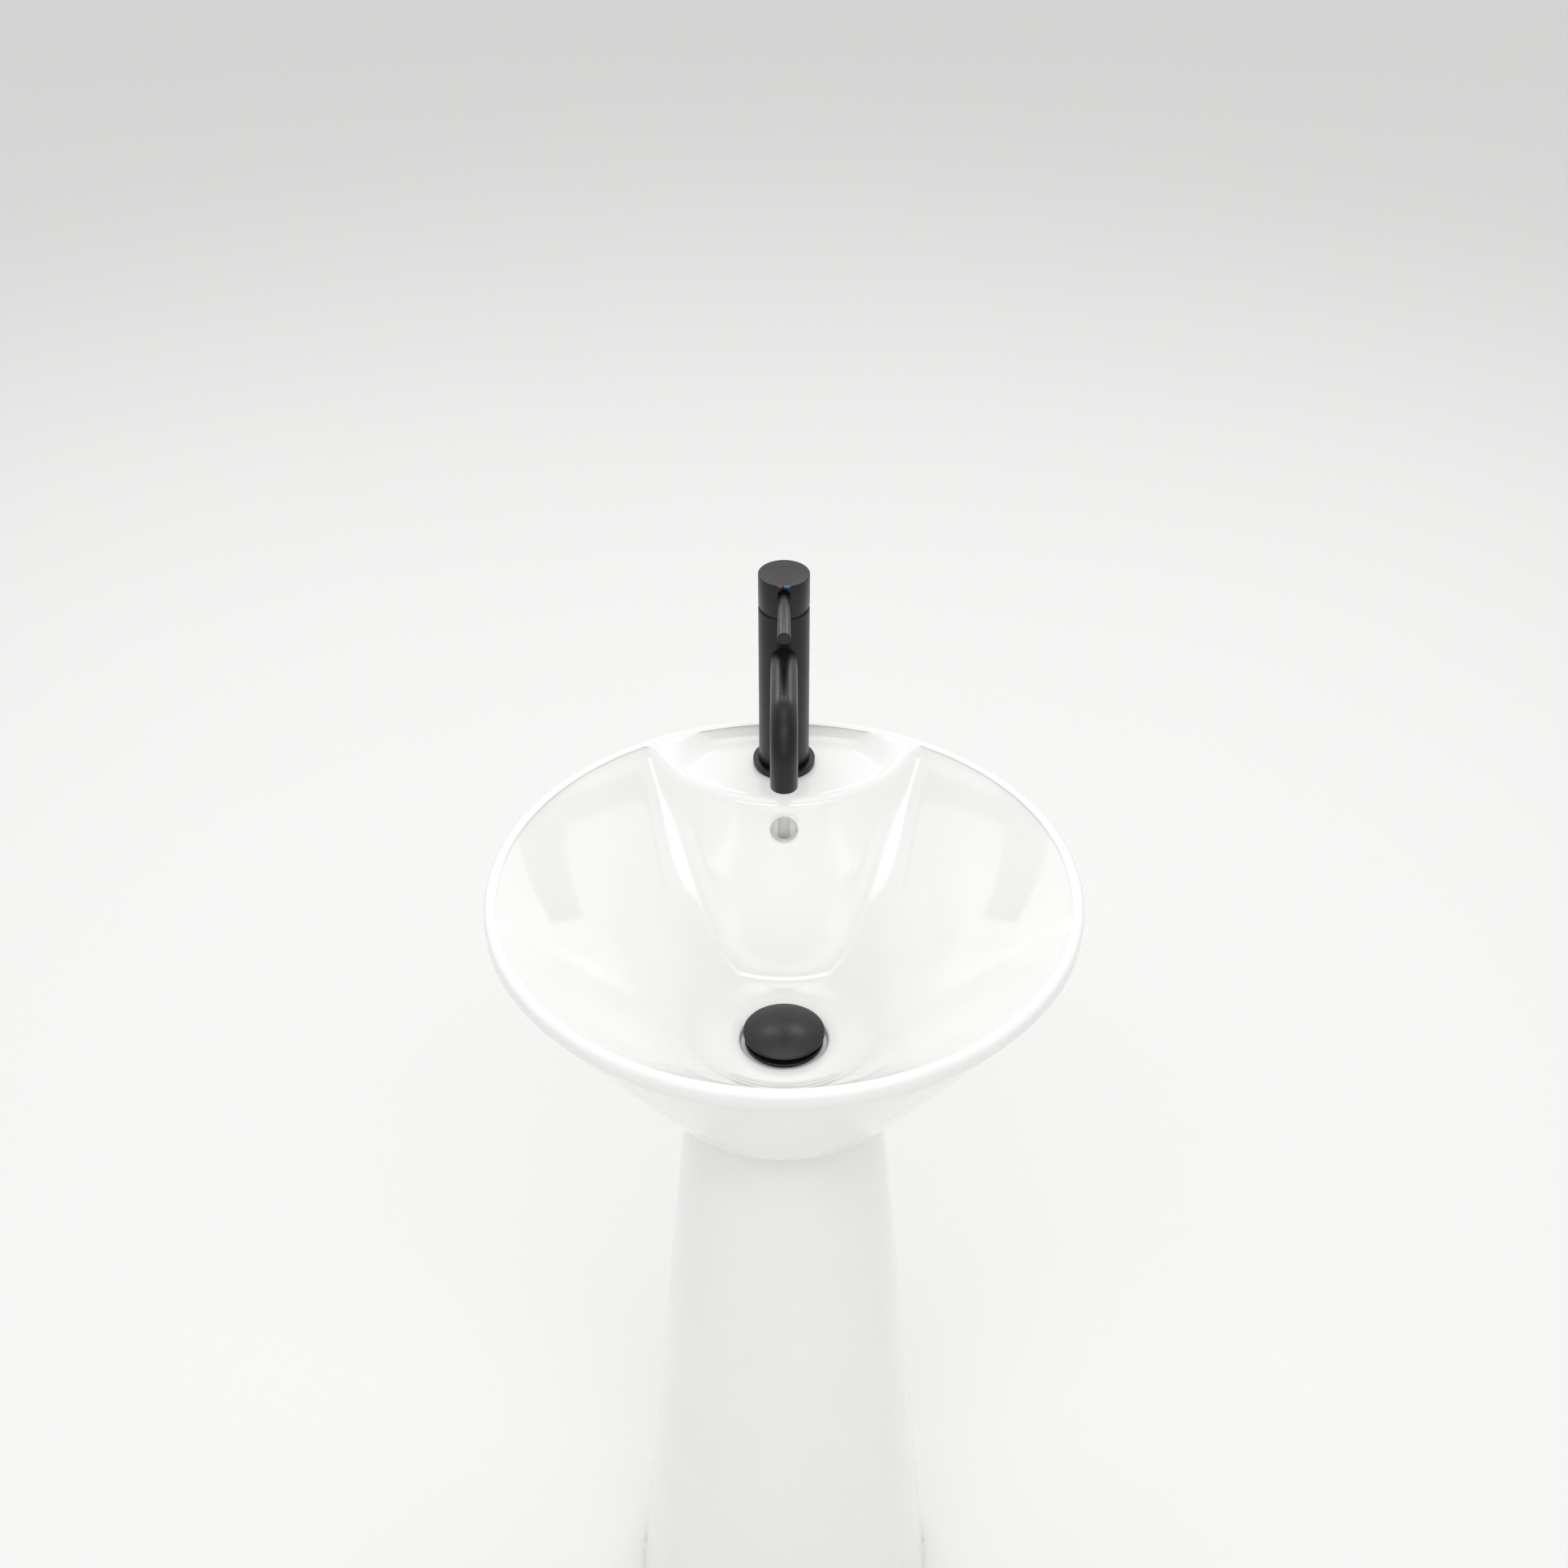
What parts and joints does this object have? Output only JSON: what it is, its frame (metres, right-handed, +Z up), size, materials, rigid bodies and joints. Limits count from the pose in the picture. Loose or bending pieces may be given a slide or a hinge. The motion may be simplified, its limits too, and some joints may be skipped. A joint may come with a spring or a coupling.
{
  "type": "pedestal sink",
  "caption": "Round cone-shaped ceramic basin on a tapered ceramic pedestal, with a tall black single-lever mixer tap, a push-open waste and a bottle trap.",
  "frame": {"origin": "on the floor, below the centre of the bowl", "axes": "+Z up, -Y to the person who stands at the sink, +Y to the wall, +X to that person's right"},
  "size_m": [0.47, 0.47, 1.0253],
  "materials": {
    "white_glaze": "gloss",
    "black_coat": "satin",
    "plug_black": "satin",
    "brass": "satin",
    "steel": "satin",
    "chrome": "polished",
    "rubber": "matte",
    "white_plastic": "satin",
    "grey_plastic": "satin",
    "red_mark": "gloss",
    "blue_mark": "gloss"
  },
  "bodies": {
    "sink": {"basin": "white_glaze", "pedestal": "white_glaze", "tap_base_flange": "black_coat", "tap_body": "black_coat", "tap_spout": "black_coat", "aerator_housing": "black_coat", "tap_trim_dome": "black_coat", "waste_body": "plug_black", "cartridge_nut": "brass", "tap_shank": "brass", "inlet_nipple_hot": "brass", "inlet_nipple_cold": "brass", "tap_clamp_nut": "brass", "waste_back_nut": "brass", "floor_bracket_left": "steel", "floor_bracket_right": "steel", "side_screw_left": "steel", "side_screw_right": "steel", "tap_clamp_washer": "steel", "click_spring": "steel", "tail_pipe": "chrome", "tail_nut": "chrome", "trap_body": "chrome", "trap_inlet_nut": "chrome", "trap_cup": "chrome", "outlet_nut": "chrome", "outlet_pipe": "chrome", "seating_gasket": "rubber", "tap_base_gasket": "rubber", "tap_clamp_rubber": "rubber", "waste_upper_gasket": "rubber", "waste_lower_gasket": "rubber", "tail_washer": "rubber", "trap_inlet_washer": "rubber", "trap_cup_gasket": "rubber", "outlet_washer": "rubber", "screw_cap_left": "white_plastic", "screw_cap_right": "white_plastic", "cartridge_housing": "white_plastic", "waste_washer": "white_plastic", "click_housing": "white_plastic", "aerator_insert": "grey_plastic"},
    "cartridge": {"cartridge_carrier": "grey_plastic", "cartridge_pivot_pin": "steel"},
    "handle": {"handle_stem": "brass", "handle_cap": "black_coat", "lever_pin": "black_coat", "handle_grub_screw": "steel", "handle_screw_plug": "black_coat", "hot_mark": "red_mark", "cold_mark": "blue_mark"},
    "plug": {"plug_dome": "plug_black", "plug_seal": "rubber", "plug_stem": "brass"}
  },
  "joints": [
    {"name": "handle_swivel", "type": "hinge", "parent": "sink", "child": "cartridge", "pos_m": [0, 0.184, 0.9815], "axis": [0, 0, 1], "range_deg": [-45, 45]},
    {"name": "handle_lift", "type": "hinge", "parent": "cartridge", "child": "handle", "pos_m": [0, 0.184, 0.9815], "axis": [-1, 0, 0], "range_deg": [0, 18]},
    {"name": "plug_popup", "type": "slide", "parent": "sink", "child": "plug", "axis": [0, 0, 1], "range_m": [-0.0055, 0], "stiffness_N_per_m": 800, "springref_m": 0.004, "deforming": ["click_spring"]}
  ]
}
